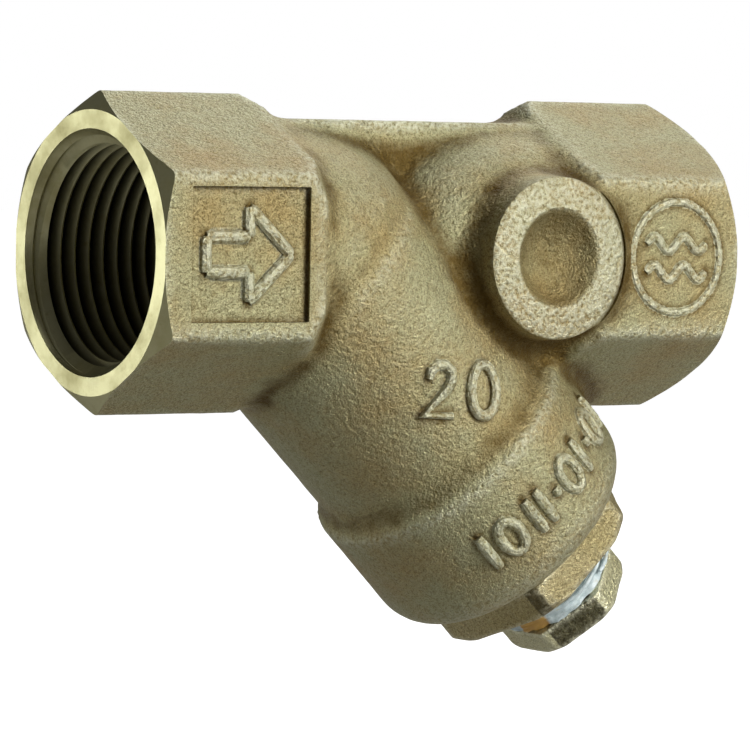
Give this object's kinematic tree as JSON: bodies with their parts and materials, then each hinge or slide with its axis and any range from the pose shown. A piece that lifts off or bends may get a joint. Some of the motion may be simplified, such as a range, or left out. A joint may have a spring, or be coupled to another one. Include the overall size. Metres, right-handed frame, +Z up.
{
  "type": "y strainer",
  "caption": "Cast bronze Y strainer for threaded pipe: tubular screen in a 45 degree branch, held by a screwed cap with a blow-off plug.",
  "frame": {"origin": "centre of the inlet pipe thread where its first full turn starts, on the axis of the run, 2.2 mm inside the inlet face", "axes": "+X along the run, from inlet to outlet, the way the water flows; +Z up, away from the branch, which points down and forward at 45 degrees; the boss is on the -Y side"},
  "size_m": [0.0768, 0.0322, 0.0628],
  "materials": {
    "cast_bronze": "sand-cast lead-free bronze, fine sandy grain, machined inside the pipe threads",
    "cap_bronze": "sand-cast bronze with machined thread",
    "gasket_ptfe": "plain white PTFE",
    "plug_brass": "cast brass with machined thread",
    "thread_tape": "wound PTFE thread tape, slightly translucent",
    "screen_steel": "perforated stainless sheet",
    "mesh_steel": "fine woven stainless wire"
  },
  "bodies": {
    "casting": {"body": "cast_bronze"},
    "gasket": {"cap_gasket": "gasket_ptfe"},
    "cap": {"retainer_cap": "cap_bronze"},
    "tape": {"plug_thread_tape": "thread_tape"},
    "plug": {"blow_off_plug": "plug_brass"},
    "screen": {"screen_perforated_tube": "screen_steel", "screen_mesh_liner": "mesh_steel", "screen_top_band": "screen_steel", "screen_bottom_band": "screen_steel"}
  },
  "joints": [
    {"name": "cap_travel", "type": "slide", "parent": "casting", "child": "gasket", "axis": [0.7071, 0, -0.7071], "range_m": [0, 0.0098]},
    {"name": "cap_turn", "type": "hinge", "parent": "gasket", "child": "cap", "pos_m": [0.05476, 0, -0.03189], "axis": [0.7071, 0, -0.7071], "range_deg": [0, 2340]},
    {"name": "screen_travel", "type": "slide", "parent": "casting", "child": "screen", "axis": [0.7071, 0, -0.7071], "range_m": [0, 0.0098]},
    {"name": "plug_travel", "type": "slide", "parent": "cap", "child": "tape", "axis": [0.7071, 0, -0.7071], "range_m": [0, 0.0056]},
    {"name": "plug_turn", "type": "hinge", "parent": "tape", "child": "plug", "pos_m": [0.05738, 0, -0.03451], "axis": [0.7071, 0, -0.7071], "range_deg": [0, 1404]}
  ],
  "couplings": [
    {"joint": "cap_travel", "follows": "cap_turn", "m_per_rad": 0.00023873},
    {"joint": "screen_travel", "follows": "cap_turn", "m_per_rad": 0.00023873},
    {"joint": "plug_travel", "follows": "plug_turn", "m_per_rad": 0.00022459}
  ]
}
